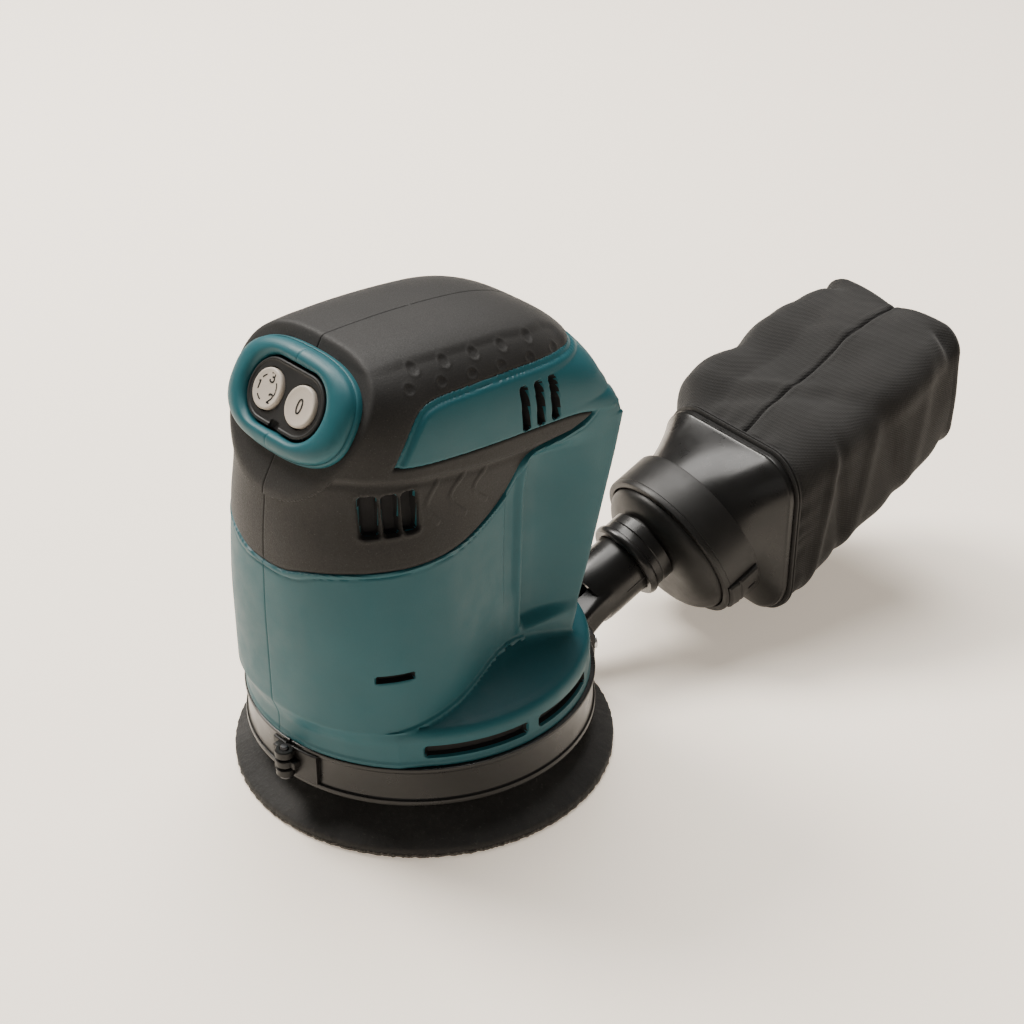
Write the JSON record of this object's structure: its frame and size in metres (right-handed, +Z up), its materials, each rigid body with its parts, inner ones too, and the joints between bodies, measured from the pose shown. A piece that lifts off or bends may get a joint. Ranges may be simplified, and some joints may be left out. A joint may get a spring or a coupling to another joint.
{
  "type": "orbital sander",
  "caption": "Compact random orbit sander with palm grip, two-button switch panel, hook-face pad, battery flange and a slip-on dust bag.",
  "frame": {"origin": "centre of the pad's abrasive face at rest, on the motor's axis", "axes": "+Z up along the motor's axis, -Y towards the switch panel, +Y towards the dust bag, +X to the tool's left as its user holds it"},
  "size_m": [0.123, 0.2706, 0.1534],
  "materials": {
    "teal_housing": "fine moulded grain, satin",
    "black_overmould": "soft-touch elastomer, matte",
    "black_plastic": "semi-gloss moulded nylon",
    "button_ivory": "satin, printed marks",
    "steel": "zinc plated",
    "dark_steel": "black oxide",
    "aluminium": "die cast",
    "brass": "plain",
    "copper": "enamelled wire",
    "carbon": "sintered carbon and ferrite",
    "circuit_board": "solder mask",
    "module_case": "potted electronics",
    "lead_insulation": "PVC",
    "black_rubber": "moulded rubber",
    "pad_foam": "gritty moulded polyurethane foam",
    "hook_fabric": "short nylon hooks",
    "bag_fabric": "woven dust-bag cloth"
  },
  "bodies": {
    "body": {"housing_left": "teal_housing", "housing_right": "teal_housing", "overmould_left": "black_overmould", "overmould_right": "black_overmould", "housing_screws": "steel", "switch_bezel": "black_plastic", "switch_board": "circuit_board", "control_module": "module_case", "battery_holder": "black_plastic", "battery_terminals": "brass", "power_leads": "lead_insulation", "motor_can": "steel", "motor_magnets": "carbon", "brush_cap": "black_plastic", "carbon_brushes": "carbon", "upper_bearing": "steel", "lower_bearing": "steel", "bearing_bracket": "aluminium", "baffle_plate": "black_plastic", "shroud_band": "black_plastic", "band_clamp": "black_plastic", "clamp_pin": "dark_steel", "brake_seal": "black_rubber", "dust_nozzle": "black_plastic", "nozzle_screws": "steel"},
    "spindle": {"armature_core": "steel", "armature_windings": "copper", "commutator": "copper", "motor_shaft": "steel", "cooling_fan": "black_plastic", "eccentric_hub": "aluminium", "pad_bearing": "steel", "bearing_circlip": "dark_steel"},
    "pad": {"pad_spindle": "steel", "pad_plate": "black_plastic", "pad_foam": "pad_foam", "pad_hook_face": "hook_fabric", "pad_washer": "steel", "pad_bolt": "dark_steel"},
    "speed_key": {"speed_button": "button_ivory"},
    "stop_key": {"stop_button": "button_ivory"},
    "dust_bag": {"bag_cuff": "black_rubber", "bag_adapter": "black_plastic", "bag_collar": "black_plastic", "bag_frame": "black_plastic", "bag_bead": "black_rubber", "bag_fabric": "bag_fabric"},
    "latch": {"bag_latch": "black_plastic"}
  },
  "joints": [
    {"name": "spindle_spin", "type": "hinge", "parent": "body", "child": "spindle", "pos_m": [0, 0, 0.06], "axis": [0, 0, 1], "continuous": true},
    {"name": "pad_spin", "type": "hinge", "parent": "spindle", "child": "pad", "pos_m": [0.0014, 0, 0.02], "axis": [0, 0, 1], "continuous": true},
    {"name": "speed_press", "type": "slide", "parent": "body", "child": "speed_key", "axis": [0, 0.8572, -0.515], "range_m": [0, 0.0012], "stiffness_N_per_m": 900},
    {"name": "stop_press", "type": "slide", "parent": "body", "child": "stop_key", "axis": [0, 0.8572, -0.515], "range_m": [0, 0.0012], "stiffness_N_per_m": 900},
    {"name": "bag_pull", "type": "slide", "parent": "body", "child": "dust_bag", "axis": [0.0796, 0.9094, 0.4083], "range_m": [0, 0.026]},
    {"name": "latch_press", "type": "slide", "parent": "dust_bag", "child": "latch", "axis": [-0.937, -0.0716, 0.342], "range_m": [0, 0.0008], "stiffness_N_per_m": 900}
  ]
}
